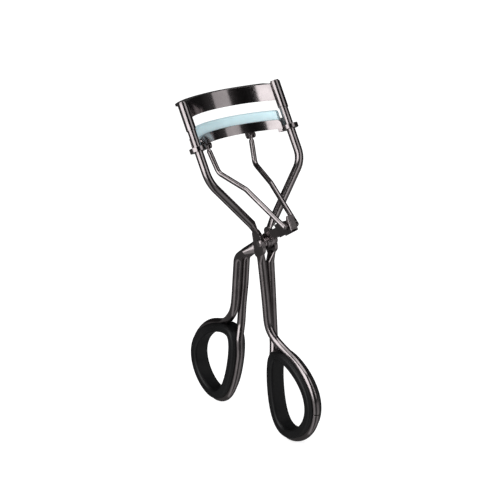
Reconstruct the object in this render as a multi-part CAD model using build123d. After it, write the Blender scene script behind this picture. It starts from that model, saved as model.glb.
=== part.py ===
from build123d import *
import math
import os

os.makedirs("parts", exist_ok=True)

# Eyelash curler with scissor handles, in millimetres.
# It is drawn in tool axes and turned upright at the end:
#   X across the tool, -X is the left-hand side
#   Y toward the back, the hollow side of the jaws faces -Y
#   Z up along the guide wires, with the pivot at the origin
LEAN = 27.0  # the guides lean back by this angle when the tool stands on its rings

# ---- wires ----
WIRE_R = 1.28
PUSHER_R = 0.78
GUIDE_X = 17.2
GUIDE_Y = -3.85  # at the top of the guide
GUIDE_TILT = 2.62  # degrees, each guide's foot stands this far forward of its top
GUIDE_TOP = 45.3
ELBOW_Z = 20.58
ELBOW_R = 7.67
ARM_END = (4.2, -0.94, 6.0)
LEG_X = 1.5

# ---- pivot ----
EAR_IN = 1.7
EAR_T = 1.1
EAR_FRONT = [(-0.2, 3.9), (-0.85, 2.6), (-1.1, 0.6), (-0.9, -1.3), (-0.25, -2.8)]
EAR_BACK = [(3.9, -2.9), (3.7, -1.2), (3.1, 0.8), (2.5, 2.6), (2.0, 3.9)]
EAR_TOP = (0.9, 3.3)
EAR_FOOT = (1.9, -2.5)
EAR_TOP_HALF_WIDTH = 1.3
EAR_FOOT_HALF_WIDTH = 2.0
LUG_IN = 0.1
LUG_T = 0.8
LUG_HALF_WIDTH = 1.9
LUG_NOSE_HALF_WIDTH = 1.35
RIVET_R = 0.75
RIVET_FIT = 0.05
RIVET_HEAD_R = 1.15
RIVET_HEAD_H = 0.6
SPACER_R = 1.5
SPACER_GAP = 0.04

# ---- jaws: arcs about a vertical axis, cut between planes that rise toward the back ----
ARC_Y = -13.2
EDGE_RISE = 16.5  # degrees, between the jaws' edges and a level plane across the guides
JAW_END = 58.5
PAD_END = 56.0
FACE_R = 18.7
FACE_T = 0.9
FACE_BOTTOM = 39.35
FACE_TOP = 44.4
FLANGE_T = 0.7
FLANGE_BACK = 7.3
FLANGE_CORNER = (16.4, 0.9)
SLEEVE_END = 62.5
SLEEVE_WALL = 0.25
SLEEVE_BOTTOM = 36.6
SLEEVE_TOP = 44.9
LIP_R = 17.2
LIP_T = 0.5
CHANNEL_R = 20.6
CHANNEL_BOTTOM = 30.75
CHANNEL_TOP = 33.6
PAD_TOP = 36.3
PAD_ROUND = 0.8
SKIN = 0.03
LIP_CORNER = 1.4
EYELET_R = 2.5
EYELET_H = 1.3
EYELET_Z = 30.1
STRAP_ANGLE = 60.0
STRAP_L = 4.4
STRAP_W = 2.4
STRAP_H = 1.1
GUIDE_FIT = 0.08

# ---- pusher ----
KNUCKLE_X = 8.19
KNUCKLE_L = 2.4
KNUCKLE_R = 0.98
KNUCKLE_Y = 3.21
KNUCKLE_Z = 31.9
PIN_R = 0.5
KNUCKLE_FIT = 0.06
TAB_T = 1.1
TAB_RISE = 1.3
SLOT_X = 1.24
NECK_L = 1.1  # the wire is drawn down to the crossbar's radius over this length
NECK_TAPER = 0.6
PUSHER_BENDS = [(6.79, 3.48, 23.37), (4.68, -4.06, 16.06)]
PUSHER_BEND_R = 2.76
HOOK_Y = -13.2
HOOK_Z = 1.9
HOOK_X = 2.2
HOOK_END = 0.45

# ---- bracket ----
BRACKET_IN = LUG_IN + LUG_T
BRACKET_T = 0.4
BRACKET_FRONT = -14.8
BRACKET_FOLD_R = 0.35
BRACKET_SIDE = [(-7.4, 3.7), (-8.3, -0.35), (-14.4, 0.1), (-14.8, 0.5)]
BRACKET_SIDE += [(-14.8, 4.8), (-14.2, 4.8), (-13.6, 3.6), (-11.0, 3.9)]
HOOK_HOLE_R = 1.0

# ---- finger rings ----
RING_HALF_LENGTH = 13.34
RING_HALF_WIDTH = 9.73
RING_TAPER = 0.22
RING_BOW = 2.35  # how far the ring bulges to its outer side
RING_WALL = 2.75
RING_HALF_THICK = 2.65
RING_EDGE = 0.9
SEAT_FIT = 0.06
FRAME_RING = ((12.47, -44.37), 9.3, 1)  # centre, turn of the long axis, outer side
LEVER_RING = ((39.75, -28.57), 54.5, -1)
NECK_T = 0.55  # where the wires meet the ring
SHORT_T = 2.05  # where the outer wire ends
WIRE_GAP = 0.02  # left between the ends of the two wires
LONG_T = 2 * math.pi - SHORT_T - WIRE_GAP


def mirrored(shape):
    return mirror(shape, about=Plane.YZ)


def cylinder_x(radius, x_low, x_high, y=0.0, z=0.0):
    """A round bar along X."""
    base = Plane(origin=(x_low, y, z), x_dir=(0, 1, 0), z_dir=(1, 0, 0))
    return extrude(base * Circle(radius), x_high - x_low)


def plate_yz(outline, x_low, x_high):
    """A flat plate in the YZ plane from a closed outline of (y, z) points."""
    points = [(x_low, y, z) for y, z in outline]
    face = make_face(Polyline(*points, close=True))
    return extrude(face, x_high - x_low, dir=(1, 0, 0))


def strap_yz(start, end, half_width, x_low, x_high):
    """A round-ended flat strap in the YZ plane."""
    dy, dz = end[0] - start[0], end[1] - start[1]
    length = math.hypot(dy, dz)
    ny, nz = -dz / length * half_width, dy / length * half_width
    outline = [(start[0] + ny, start[1] + nz), (end[0] + ny, end[1] + nz)]
    outline += [(end[0] - ny, end[1] - nz), (start[0] - ny, start[1] - nz)]
    body = plate_yz(outline, x_low, x_high)
    for y, z in (start, end):
        body += cylinder_x(half_width, x_low, x_high, y, z)
    return body


def rod(points, radius, bend=None, ends=None):
    """Round wire through points: filleted corners with bend, or a smooth curve without."""
    if bend is None:
        path = Spline(*points, tangents=ends) if ends else Spline(*points)
    else:
        path = FilletPolyline(*points, radius=bend)
    section = Plane(origin=path @ 0, z_dir=path % 0) * Circle(radius)
    return sweep(section, path=path)


def flatten(point, direction, flat_point, flat_direction, half_width, half_thick):
    """Round wire pressed to a flat strap: a circle blended into a thin ellipse."""
    start = Plane(origin=point, x_dir=(1, 0, 0), z_dir=direction) * Circle(WIRE_R)
    flat = Plane(origin=flat_point, x_dir=(1, 0, 0), z_dir=flat_direction)
    return loft([start, flat * Ellipse(half_thick, half_width)])


def ring_point(t, centre, turn, side, offset=0.0):
    """Point on the ring's egg outline; t is 0 at the neck and pi at the far end."""
    u = -RING_HALF_LENGTH * math.cos(t)
    v = RING_HALF_WIDTH * math.sin(t) * (1 - RING_TAPER * math.cos(t)) + RING_BOW * math.sin(t) ** 2
    du = RING_HALF_LENGTH * math.sin(t)
    dv = RING_HALF_WIDTH * (math.cos(t) - RING_TAPER * math.cos(2 * t)) + RING_BOW * math.sin(2 * t)
    norm = math.hypot(du, dv)
    u -= dv / norm * offset
    v += du / norm * offset
    a = math.radians(turn)
    axis = (math.sin(a), -math.cos(a))
    across = (-math.cos(a) * side, -math.sin(a) * side)
    return (centre[0] + u * axis[0] + v * across[0], centre[1] + u * axis[1] + v * across[1])


def ring_block(ring, offset, half_thick):
    """The ring outline, grown by offset, as a solid block."""
    steps = 24
    points = [(0, *ring_point(2 * math.pi * i / steps, *ring, offset)) for i in range(steps)]
    return extrude(make_face(Spline(*points, periodic=True)), half_thick, dir=(1, 0, 0), both=True)


def finger_ring(ring, wires):
    """Moulded liner with rounded edges and a seat for the wires round its outside."""
    liner = ring_block(ring, 0.0, RING_HALF_THICK) - ring_block(ring, -RING_WALL, 2 * RING_HALF_THICK)
    rims = [e for e in liner.edges() if abs(abs(e.center().X) - RING_HALF_THICK) < 0.01]
    liner = fillet(rims, RING_EDGE)
    for wire in wires:
        liner -= wire
    return liner.solids().sort_by(SortBy.VOLUME)[-1]


def ring_wire(lead, lead_dir, ring, sign, last, radius):
    """Wire that comes down the lead points and follows the ring outline to t = last."""
    steps = round((last - NECK_T) / 0.35)
    points = list(lead)
    for i in range(steps + 1):
        t = sign * (NECK_T + (last - NECK_T) * i / steps)
        points.append((0.0, *ring_point(t, *ring)))
    y, z = ring_point(sign * (last + 0.01), *ring)
    end_dir = (0, y - points[-1][1], z - points[-1][2])
    return rod(points, radius, ends=[lead_dir, end_dir])


# ---- frame: two wires, each a guide, an arm, a pivot ear, a leg and half a ring ----
ear_mid = EAR_IN + EAR_T / 2
tilt = math.radians(GUIDE_TILT)
guide_dir = (0, math.sin(tilt), math.cos(tilt))
elbow = (GUIDE_X, GUIDE_Y - math.tan(tilt) * (GUIDE_TOP - ELBOW_Z), ELBOW_Z)
arm_dir = tuple(end - start for end, start in zip(ARM_END, elbow))
# the outer wire (1) bends toward one side of the ring, the inner wire (-1) toward the other
FRAME_LEG = {
    1: [(LEG_X, 3.5, -5.3), (LEG_X, 6.6, -14.4), (LEG_X, 8.5, -19.6), (1.3, 10.0, -24.6)],
    -1: [(LEG_X, 3.5, -5.6), (LEG_X, 7.6, -14.9), (LEG_X, 9.7, -19.5), (1.3, 12.5, -26.3)],
}


def frame_leg_dir(sign):
    return tuple(b - a for a, b in zip(FRAME_LEG[sign][0], FRAME_LEG[sign][1]))


def frame_upper(radius):
    """Guide, elbow and arm."""
    return rod([(GUIDE_X, GUIDE_Y, GUIDE_TOP), elbow, ARM_END], radius, bend=ELBOW_R)


def frame_ear(sign):
    edge = Spline(*[(EAR_IN, y, z) for y, z in EAR_FRONT + EAR_BACK], periodic=True)
    ear = extrude(make_face(edge), EAR_T, dir=(1, 0, 0))
    down = (0, EAR_FOOT[0] - EAR_TOP[0], EAR_FOOT[1] - EAR_TOP[1])
    hole = cylinder_x(RIVET_R, EAR_IN - 1, EAR_IN + EAR_T + 1)
    ear += flatten(ARM_END, arm_dir, (ear_mid, *EAR_TOP), down, EAR_TOP_HALF_WIDTH, EAR_T / 2)
    leg_top = FRAME_LEG[sign][0]
    foot = (ear_mid, *EAR_FOOT)
    ear += flatten(leg_top, frame_leg_dir(sign), foot, down, EAR_FOOT_HALF_WIDTH, EAR_T / 2)
    return ear - hole


def frame_lower(sign, last, radius):
    """Leg and the part of the wire that follows the ring, at x >= 0 before mirroring."""
    return ring_wire(FRAME_LEG[sign], frame_leg_dir(sign), FRAME_RING, sign, last, radius)


def frame_wire(sign, last, radius):
    return frame_upper(radius) + frame_ear(sign) + frame_lower(sign, last, radius)


frame_right = frame_wire(-1, LONG_T, WIRE_R)
frame_left = mirrored(frame_wire(1, SHORT_T, WIRE_R))

# ---- lever: two wires, each a lug, a shoulder, a leg and half a ring ----
LUG_FRONT = (-9.5, 1.6)
LUG_ROOT = (-0.6, 1.2)
LUG_BACK = (5.0, -0.35)
LEVER_NECK = (9.4, -0.58)
SHOULDER = (14.3, -1.45)
SHOULDER_R = 3.2
LEVER_LEG = {
    1: [(LEG_X, 18.03, -7.08), (LEG_X, 21.2, -11.9), (1.4, 24.6, -15.8), (0.8, 28.7, -17.5)],
    -1: [(LEG_X, 18.32, -7.7), (LEG_X, 21.44, -12.06), (LEG_X, 24.5, -16.4), (1.2, 27.1, -20.8)],
}
lug_mid = LUG_IN + LUG_T / 2
lug_dir = (0, *LUG_BACK)
neck_dir = (0, SHOULDER[0] - LEVER_NECK[0], SHOULDER[1] - LEVER_NECK[1])


def lever_lug():
    lug = strap_yz((0, 0), LUG_BACK, LUG_HALF_WIDTH, LUG_IN, LUG_IN + LUG_T)
    lug += strap_yz(LUG_FRONT, LUG_ROOT, LUG_NOSE_HALF_WIDTH, LUG_IN, LUG_IN + LUG_T)
    neck = (LEG_X, *LEVER_NECK)
    lug += flatten(neck, neck_dir, (lug_mid, *LUG_BACK), lug_dir, LUG_HALF_WIDTH, LUG_T / 2)
    return lug - cylinder_x(RIVET_R + RIVET_FIT, LUG_IN - 1, LUG_IN + LUG_T + 1)


def lever_lower(sign, last, radius):
    """Leg and the part of the wire that follows the ring, at x >= 0 before mirroring."""
    leg = LEVER_LEG[sign]
    start_dir = (0, leg[0][1] - SHOULDER[0], leg[0][2] - SHOULDER[1])
    return ring_wire(leg, start_dir, LEVER_RING, sign, last, radius)


def lever_wire(sign, last, radius):
    corner = [(LEG_X, *LEVER_NECK), (LEG_X, *SHOULDER), LEVER_LEG[sign][0]]
    shoulder = rod(corner, radius, bend=SHOULDER_R)
    return lever_lug() + shoulder + lever_lower(sign, last, radius)


lever_right = lever_wire(-1, LONG_T, WIRE_R)
lever_left = mirrored(lever_wire(1, SHORT_T, WIRE_R))

# ---- finger ring liners ----
frame_seats = [frame_lower(-1, LONG_T, WIRE_R + SEAT_FIT)]
frame_seats += [mirrored(frame_lower(1, SHORT_T, WIRE_R + SEAT_FIT))]
lever_seats = [lever_lower(-1, LONG_T, WIRE_R + SEAT_FIT)]
lever_seats += [mirrored(lever_lower(1, SHORT_T, WIRE_R + SEAT_FIT))]
frame_liner = finger_ring(FRAME_RING, frame_seats)
lever_liner = finger_ring(LEVER_RING, lever_seats)

# ---- pivot rivet and the spacers between lugs and ears ----
rivet_reach = EAR_IN + EAR_T
rivet = cylinder_x(RIVET_R, -rivet_reach, rivet_reach)
for side in (-1, 1):
    head_x = sorted((side * rivet_reach, side * (rivet_reach + RIVET_HEAD_H)))
    head = cylinder_x(RIVET_HEAD_R, *head_x)
    rim = head.edges().filter_by(GeomType.CIRCLE).sort_by(Axis.X)[-1 if side > 0 else 0]
    rivet += fillet(rim, RIVET_HEAD_H * 0.8)

spacer_low = LUG_IN + LUG_T + SPACER_GAP
spacer_right = cylinder_x(SPACER_R, spacer_low, EAR_IN - SPACER_GAP)
spacer_right -= cylinder_x(RIVET_R + RIVET_FIT, spacer_low - 1, EAR_IN + 1)
spacer_left = mirrored(spacer_right)


# ---- jaws ----
def polar(radius, degrees):
    a = math.radians(degrees)
    return (radius * math.sin(a), ARC_Y + radius * math.cos(a))


def slab(z_low, z_high):
    """Everything between two parallel planes that rise toward the back."""
    a = math.radians(EDGE_RISE)
    base = Plane(origin=(0, GUIDE_Y, z_low), x_dir=(1, 0, 0), z_dir=(0, -math.sin(a), math.cos(a)))
    return extrude(base * Rectangle(90, 90), (z_high - z_low) * math.cos(a))


def curved_bar(r_in, r_out, end, z_low, z_high, outer=None):
    """A bar that follows the jaw arc; outer replaces its outer edge by another arc."""
    inner = ThreePointArc(polar(r_in, -end), polar(r_in, 0), polar(r_in, end))
    outer = outer or ThreePointArc(polar(r_out, end), polar(r_out, 0), polar(r_out, -end))
    sides = [Line(inner @ 1, outer @ 0), Line(outer @ 1, inner @ 0)]
    face = make_face(Wire([inner, sides[0], outer, sides[1]]))
    return extrude(Pos(0, 0, CHANNEL_BOTTOM - 10) * face, 40) & slab(z_low, z_high)


def upright(radius, z_low, z_high):
    """A round bar along the right-hand guide."""
    y_low = GUIDE_Y - math.tan(tilt) * (GUIDE_TOP - z_low)
    base = Plane(origin=(GUIDE_X, y_low, z_low), x_dir=(1, 0, 0), z_dir=guide_dir)
    return extrude(base * Circle(radius), (z_high - z_low) / math.cos(tilt))


face = curved_bar(FACE_R, FACE_R + FACE_T, SLEEVE_END, FACE_BOTTOM, FACE_TOP)
corner_x, corner_y = FLANGE_CORNER
rim = ThreePointArc(FLANGE_CORNER, (0, FLANGE_BACK), (-corner_x, corner_y))
flange = curved_bar(FACE_R, FACE_R, SLEEVE_END, FACE_TOP - FLANGE_T, FACE_TOP, rim)
sleeve = upright(WIRE_R + SLEEVE_WALL, SLEEVE_BOTTOM, SLEEVE_TOP)
slant = Plane(origin=(GUIDE_X, GUIDE_Y, SLEEVE_BOTTOM), x_dir=(0, 1, 0), z_dir=(0.5, 0, 1))
sleeve -= extrude(slant * Rectangle(20, 20), -8)
upper_jaw = face + flange + sleeve + mirrored(sleeve)
bore = upright(WIRE_R + SKIN, SLEEVE_BOTTOM - 5, SLEEVE_TOP + 5)
upper_jaw -= bore
upper_jaw -= mirrored(bore)

lip = curved_bar(LIP_R, LIP_R + LIP_T, JAW_END, CHANNEL_BOTTOM, CHANNEL_TOP)
corners = [e for e in lip.edges() if e.length < LIP_T * 1.5 and e.center().Z > CHANNEL_BOTTOM + 1.5]
lip = fillet(corners, LIP_CORNER)
back_wall = curved_bar(CHANNEL_R - LIP_T, CHANNEL_R, JAW_END, CHANNEL_BOTTOM, CHANNEL_TOP)
floor = curved_bar(LIP_R, CHANNEL_R, JAW_END, CHANNEL_BOTTOM, CHANNEL_BOTTOM + LIP_T)
lower_jaw = lip + back_wall + floor
eyelet = upright(EYELET_R, EYELET_Z, EYELET_Z + EYELET_H)
knuckle = cylinder_x(
    KNUCKLE_R, KNUCKLE_X - KNUCKLE_L / 2, KNUCKLE_X + KNUCKLE_L / 2, KNUCKLE_Y, KNUCKLE_Z
)
tab = Pos(KNUCKLE_X, KNUCKLE_Y + KNUCKLE_R - TAB_T / 2, KNUCKLE_Z + TAB_RISE / 2)
knuckle += tab * Box(KNUCKLE_L, TAB_T, TAB_RISE)
barrel = cylinder_x(
    PIN_R + KNUCKLE_FIT, KNUCKLE_X - KNUCKLE_L, KNUCKLE_X + KNUCKLE_L, KNUCKLE_Y, KNUCKLE_Z
)
slot = Pos(KNUCKLE_X, KNUCKLE_Y, KNUCKLE_Z - KNUCKLE_R) * Box(SLOT_X, 3 * KNUCKLE_R, 2 * KNUCKLE_R)
knuckle = knuckle - barrel - slot
lower_jaw += [eyelet, mirrored(eyelet), knuckle, mirrored(knuckle)]
strap_at = (*polar((LIP_R + CHANNEL_R) / 2, STRAP_ANGLE), EYELET_Z + STRAP_H / 2)
strap = Pos(*strap_at) * Rot(0, 0, -STRAP_ANGLE) * Box(STRAP_L, STRAP_W, STRAP_H)
lower_jaw += [strap, mirrored(strap)]
glide = upright(WIRE_R + GUIDE_FIT, EYELET_Z - 5, EYELET_Z + 5)
pocket_z = CHANNEL_BOTTOM + LIP_T
pocket = curved_bar(LIP_R + LIP_T, CHANNEL_R - LIP_T, JAW_END, pocket_z, PAD_TOP)
lower_jaw -= [glide, mirrored(glide), pocket]

pad = curved_bar(
    LIP_R + LIP_T + SKIN, CHANNEL_R - LIP_T - SKIN, PAD_END, pocket_z + SKIN, PAD_TOP
)
crown = pad.faces().sort_by(Axis((0, 0, 0), (0, -0.28, 0.96)))[-1]
pad = fillet(crown.edges(), PAD_ROUND)

# ---- pusher wires: crossbar in the knuckle, two bends, hook through the bracket ----
crossbar = cylinder_x(
    PIN_R, KNUCKLE_X - KNUCKLE_L / 2, KNUCKLE_X + KNUCKLE_L / 2, KNUCKLE_Y, KNUCKLE_Z
)
joint = Vector(KNUCKLE_X, KNUCKLE_Y, KNUCKLE_Z)
down = (Vector(*PUSHER_BENDS[0]) - joint).normalized()
neck = Plane(origin=joint, x_dir=(1, 0, 0), z_dir=down)
neck_end = Plane(origin=joint + down * NECK_L, x_dir=(1, 0, 0), z_dir=down)
stem_top = joint + down * (NECK_L + NECK_TAPER)
full = Plane(origin=stem_top, x_dir=(1, 0, 0), z_dir=down)
pusher_right = crossbar + extrude(neck * Circle(PIN_R), NECK_L)
pusher_right += loft([neck_end * Circle(PIN_R), full * Circle(PUSHER_R)])
stem = [tuple(stem_top), *PUSHER_BENDS, (HOOK_X, HOOK_Y, HOOK_Z)]
pusher_right += rod(stem, PUSHER_R, bend=PUSHER_BEND_R)
pusher_right += cylinder_x(PUSHER_R, HOOK_END, HOOK_X, HOOK_Y, HOOK_Z)
pusher_right += Pos(HOOK_X, HOOK_Y, HOOK_Z) * Sphere(PUSHER_R)
pusher_left = mirrored(pusher_right)

# ---- bracket: one folded sheet, two sides and a front ----
bracket_side = plate_yz(BRACKET_SIDE, BRACKET_IN, BRACKET_IN + BRACKET_T)
web_low, web_high = BRACKET_SIDE[3][1], BRACKET_SIDE[4][1]
web = Pos(0, BRACKET_FRONT + BRACKET_T / 2, (web_low + web_high) / 2)
web *= Box(2 * (BRACKET_IN + BRACKET_T), BRACKET_T, web_high - web_low)
bracket = bracket_side + mirrored(bracket_side) + web
folds = bracket.edges().filter_by(Axis.Z).group_by(Axis.Y)[0]
bracket = fillet(folds, BRACKET_FOLD_R)
bracket -= cylinder_x(HOOK_HOLE_R, -5, 5, HOOK_Y, HOOK_Z)

NODES = {
    "frame_wire_left": frame_left,
    "frame_wire_right": frame_right,
    "upper_jaw": upper_jaw,
    "frame_ring_liner": frame_liner,
    "pivot_rivet": rivet,
    "spacer_left": spacer_left,
    "spacer_right": spacer_right,
    "lever_wire_left": lever_left,
    "lever_wire_right": lever_right,
    "lever_ring_liner": lever_liner,
    "link_bracket": bracket,
    "pusher_wire_left": pusher_left,
    "pusher_wire_right": pusher_right,
    "lower_jaw": lower_jaw,
    "lash_pad": pad,
}

turn = Rot(-LEAN, 0, 0)
whole = Compound(children=[turn * shape for shape in NODES.values()]).bounding_box()
stand = Pos(0, -whole.center().Y, -whole.min.Z) * turn
for name, shape in NODES.items():
    placed = stand * shape
    print(name, len(placed.solids()), round(placed.volume, 1))
    export_step(placed, f"parts/{name}.step")
print("pivot", (stand * Vertex(0, 0, 0)).center())
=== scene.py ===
import math

import bpy
from mathutils import Matrix, Vector


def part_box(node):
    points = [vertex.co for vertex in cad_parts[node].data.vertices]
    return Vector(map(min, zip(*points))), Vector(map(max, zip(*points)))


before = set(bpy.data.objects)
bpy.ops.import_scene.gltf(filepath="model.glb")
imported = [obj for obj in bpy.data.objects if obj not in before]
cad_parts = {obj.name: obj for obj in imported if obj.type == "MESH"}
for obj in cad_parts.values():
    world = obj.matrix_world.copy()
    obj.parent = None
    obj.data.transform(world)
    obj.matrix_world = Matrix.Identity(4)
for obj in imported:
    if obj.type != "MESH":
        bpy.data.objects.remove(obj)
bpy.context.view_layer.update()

BLACK_CHROME = (0.33, 0.298, 0.302)
LINER_BLACK = (0.006, 0.006, 0.0065)
PAD_BLUE = (0.60, 0.78, 0.83)
EDGE_SOFTENING = 0.00012  # metres
FLOOR_RADIUS = 12
FLOOR_GLOW = 0.80
PALE = 0.96  # the backdrop, as bright as the camera sees it
FLOOR_BOUNCE = 0.24  # what polished metal mirrors below the horizon
ROOM = 0.05  # what it mirrors above the horizon, between the lights
HORIZON = (-0.06, 0.04)  # the rise over which one changes into the other
SKY_FILL = 0.45  # what falls on rough surfaces from all around
# how bright the room is toward each azimuth (0 in front, positive to the right), as a share of those
ROOM_ROUND = [(-180, 0.4), (-112, 0.4), (-98, 2.0), (-60, 2.0), (-48, 0.3), (-22, 0.2)]
ROOM_ROUND += [(-6, 0.9), (8, 1.6), (40, 1.6), (66, 0.4), (180, 0.4)]

CAMERA_FROM_PIVOT = Vector((-0.5705, -0.71404, 0.31523))
TARGET_FROM_PIVOT = Vector((-0.00331, 0.00397, -0.00293))
ROLL = 0.917  # degrees
LENS = 237.3
SENSOR = 36.0


# ---- materials ----
def new_material(name):
    mat = bpy.data.materials.new(name)
    mat.use_nodes = True
    tree = mat.node_tree
    return mat, tree, tree.nodes["Principled BSDF"]


def add(tree, kind, **values):
    node = tree.nodes.new(kind)
    for key, value in values.items():
        if key in node.inputs:
            node.inputs[key].default_value = value
        else:
            setattr(node, key, value)
    return node


def noise(tree, scale, detail):
    """Noise in object space."""
    coord = add(tree, "ShaderNodeTexCoord")
    node = add(tree, "ShaderNodeTexNoise", Scale=scale, Detail=detail)
    tree.links.new(coord.outputs["Object"], node.inputs["Vector"])
    return node.outputs["Fac"]


def ramp_value(tree, source, low, high, start=0.3, end=0.7):
    node = add(tree, "ShaderNodeMapRange")
    node.inputs["From Min"].default_value = start
    node.inputs["From Max"].default_value = end
    node.inputs["To Min"].default_value = low
    node.inputs["To Max"].default_value = high
    tree.links.new(source, node.inputs["Value"])
    return node.outputs["Result"]


def ramp_colour(tree, source, dark, light, start=0.35, end=0.65):
    node = add(tree, "ShaderNodeValToRGB")
    node.color_ramp.elements[0].position = start
    node.color_ramp.elements[0].color = (*dark, 1)
    node.color_ramp.elements[1].position = end
    node.color_ramp.elements[1].color = (*light, 1)
    tree.links.new(source, node.inputs["Fac"])
    return node.outputs["Color"]


def bump(tree, source, strength, distance, soften=None):
    node = add(tree, "ShaderNodeBump", Strength=strength, Distance=distance)
    tree.links.new(source, node.inputs["Height"])
    if soften:
        bevel = add(tree, "ShaderNodeBevel", Radius=soften, samples=4)
        tree.links.new(bevel.outputs["Normal"], node.inputs["Normal"])
    return node.outputs["Normal"]


def tinted(colour, factor):
    return tuple(c * factor for c in colour)


def dress(tree, shader, colour, rough, normal):
    """Connects a material's colour, roughness and normal to its shader."""
    tree.links.new(colour, shader.inputs["Base Color"])
    tree.links.new(rough, shader.inputs["Roughness"])
    tree.links.new(normal, shader.inputs["Normal"])


def metal(name, colour, rough):
    mat, tree, shader = new_material(name)
    shader.inputs["Metallic"].default_value = 1.0
    cloud = noise(tree, 260, 4.0)
    fine = noise(tree, 1900, 2.0)
    dress(
        tree,
        shader,
        ramp_colour(tree, cloud, tinted(colour, 0.86), tinted(colour, 1.08)),
        ramp_value(tree, fine, rough * 0.8, rough * 1.3),
        bump(tree, cloud, 0.06, 0.0001, EDGE_SOFTENING),
    )
    return mat


wire_metal = metal("black_chrome_wire", BLACK_CHROME, 0.17)
sheet_metal = metal("black_chrome_sheet", BLACK_CHROME, 0.13)
plate_metal = metal("black_chrome_plate", tinted(BLACK_CHROME, 0.8), 0.24)
rivet_metal = metal("black_chrome_rivet", tinted(BLACK_CHROME, 1.5), 0.16)

liner_plastic, tree, shader = new_material("liner_plastic")
grain = noise(tree, 3200, 3.0)
cloud = noise(tree, 140, 3.0)
dress(
    tree,
    shader,
    ramp_colour(tree, cloud, tinted(LINER_BLACK, 0.8), tinted(LINER_BLACK, 1.25)),
    ramp_value(tree, cloud, 0.34, 0.46),
    bump(tree, grain, 0.12, 0.00005),
)
shader.inputs["Specular IOR Level"].default_value = 0.3

pad_silicone, tree, shader = new_material("pad_silicone")
cloud = noise(tree, 220, 3.0)
grain = noise(tree, 2600, 2.0)
dress(
    tree,
    shader,
    ramp_colour(tree, cloud, tinted(PAD_BLUE, 0.95), tinted(PAD_BLUE, 1.04)),
    ramp_value(tree, grain, 0.40, 0.52),
    bump(tree, grain, 0.08, 0.00004),
)
shader.inputs["Subsurface Weight"].default_value = 0.25
shader.inputs["Subsurface Radius"].default_value = (0.0012, 0.0018, 0.002)
shader.inputs["Subsurface Scale"].default_value = 1.0

FINISH = {
    "upper_jaw": sheet_metal,
    "lower_jaw": sheet_metal,
    "link_bracket": plate_metal,
    "pivot_rivet": rivet_metal,
    "spacer_left": rivet_metal,
    "spacer_right": rivet_metal,
    "frame_ring_liner": liner_plastic,
    "lever_ring_liner": liner_plastic,
    "lash_pad": pad_silicone,
}
for node_name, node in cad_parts.items():
    finish = FINISH.get(node_name, wire_metal)
    node.data.materials.clear()
    node.data.materials.append(finish)

# ---- where things are ----
low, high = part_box("pivot_rivet")
pivot = (low + high) / 2


def around(azimuth, elevation, distance):
    """Point at a distance from the pivot; azimuth 0 is in front (-Y), positive to the right (+X)."""
    a, e = math.radians(azimuth), math.radians(elevation)
    level = math.cos(e)
    return pivot + distance * Vector((math.sin(a) * level, -math.cos(a) * level, math.sin(e)))


# ---- stage ----
floor_mat, tree, shader = new_material("floor_pale")
shader.inputs["Base Color"].default_value = (0.5, 0.5, 0.5, 1)
shader.inputs["Roughness"].default_value = 0.9
shader.inputs["Specular IOR Level"].default_value = 0.0
shader.inputs["Emission Color"].default_value = (1, 1, 1, 1)
shader.inputs["Emission Strength"].default_value = FLOOR_GLOW
bpy.ops.mesh.primitive_circle_add(vertices=64, radius=FLOOR_RADIUS, fill_type="NGON")
floor = bpy.context.object
floor.name = "floor"
floor.data.materials.append(floor_mat)
floor.visible_glossy = False


def softbox(name, azimuth, elevation, distance, width, height, radiance):
    """An area light that faces the pivot."""
    light = bpy.data.lights.new(name, "AREA")
    light.shape = "RECTANGLE"
    light.size, light.size_y = width, height
    light.energy = radiance * math.pi * width * height
    lamp = bpy.data.objects.new(name, light)
    bpy.context.scene.collection.objects.link(lamp)
    lamp.location = around(azimuth, elevation, distance)
    lamp.rotation_mode = "QUATERNION"
    lamp.rotation_quaternion = (lamp.location - pivot).to_track_quat("Z", "Y")
    lamp.visible_camera = False


# name, azimuth, elevation, distance, width, height, radiance
softbox("softbox_left", -84, 22, 0.60, 0.55, 0.60, 2.4)
softbox("softbox_front_right", 20, 30, 0.65, 0.36, 0.50, 0.9)
softbox("softbox_top", -10, 82, 0.60, 0.45, 0.45, 1.6)

# ---- what surrounds the stage ----
def product(tree, a, b):
    """a times b; b is a number or another node's output."""
    node = add(tree, "ShaderNodeMath", operation="MULTIPLY")
    tree.links.new(a, node.inputs[0])
    if isinstance(b, float):
        node.inputs[1].default_value = b
    else:
        tree.links.new(b, node.inputs[1])
    return node.outputs["Value"]


def choose(tree, when, otherwise, value):
    """value where the ray is of the kind in when, and otherwise elsewhere."""
    node = add(tree, "ShaderNodeMix", data_type="FLOAT")
    node.inputs["B"].default_value = value
    tree.links.new(when, node.inputs["Factor"])
    tree.links.new(otherwise, node.inputs["A"])
    return node.outputs["Result"]


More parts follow.
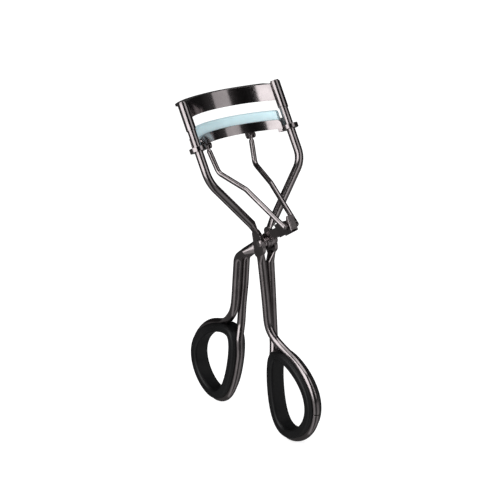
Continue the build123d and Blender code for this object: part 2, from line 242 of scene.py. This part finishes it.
def room_curve(tree, azimuth):
    """The share from ROOM_ROUND at an azimuth in radians."""
    turn = ramp_value(tree, azimuth, 0.0, 1.0, -math.pi, math.pi)
    node = add(tree, "ShaderNodeFloatCurve")
    tree.links.new(turn, node.inputs["Value"])
    curve = node.mapping.curves[0]
    peak = max(share for _, share in ROOM_ROUND)
    while len(curve.points) < len(ROOM_ROUND):
        curve.points.new(0.5, 0.5)
    for point, (degrees, share) in zip(curve.points, ROOM_ROUND):
        point.location = ((degrees + 180) / 360, share / peak)
        point.handle_type = "VECTOR"
    node.mapping.update()
    return product(tree, node.outputs["Value"], peak)


world = bpy.data.worlds.new("studio")
bpy.context.scene.world = world
world.use_nodes = True
tree = world.node_tree
background = tree.nodes["Background"]
background.inputs["Color"].default_value = (1, 1, 1, 1)
path = add(tree, "ShaderNodeLightPath")
direction = add(tree, "ShaderNodeTexCoord")
parts = add(tree, "ShaderNodeSeparateXYZ")
tree.links.new(direction.outputs["Generated"], parts.inputs["Vector"])
azimuth = add(tree, "ShaderNodeMath", operation="ARCTAN2")
tree.links.new(parts.outputs["X"], azimuth.inputs[0])
tree.links.new(product(tree, parts.outputs["Y"], -1.0), azimuth.inputs[1])
level = ramp_value(tree, parts.outputs["Z"], FLOOR_BOUNCE, ROOM, *HORIZON)
room = product(tree, room_curve(tree, azimuth.outputs["Value"]), level)
strength = choose(tree, path.outputs["Is Camera Ray"], room, PALE)
strength = choose(tree, path.outputs["Is Diffuse Ray"], strength, SKY_FILL)
tree.links.new(strength, background.inputs["Strength"])

# ---- camera ----
camera_data = bpy.data.cameras.new("camera")
camera_data.sensor_width = SENSOR
camera_data.lens = LENS
camera = bpy.data.objects.new("camera", camera_data)
bpy.context.scene.collection.objects.link(camera)
camera.location = pivot + CAMERA_FROM_PIVOT
camera.rotation_mode = "QUATERNION"
aim = (CAMERA_FROM_PIVOT - TARGET_FROM_PIVOT).to_track_quat("Z", "Y")
camera.rotation_quaternion = aim @ Matrix.Rotation(math.radians(-ROLL), 4, "Z").to_quaternion()
camera_data.clip_start, camera_data.clip_end = 0.01, 30
bpy.context.scene.camera = camera

bpy.context.scene.view_settings.view_transform = "Standard"
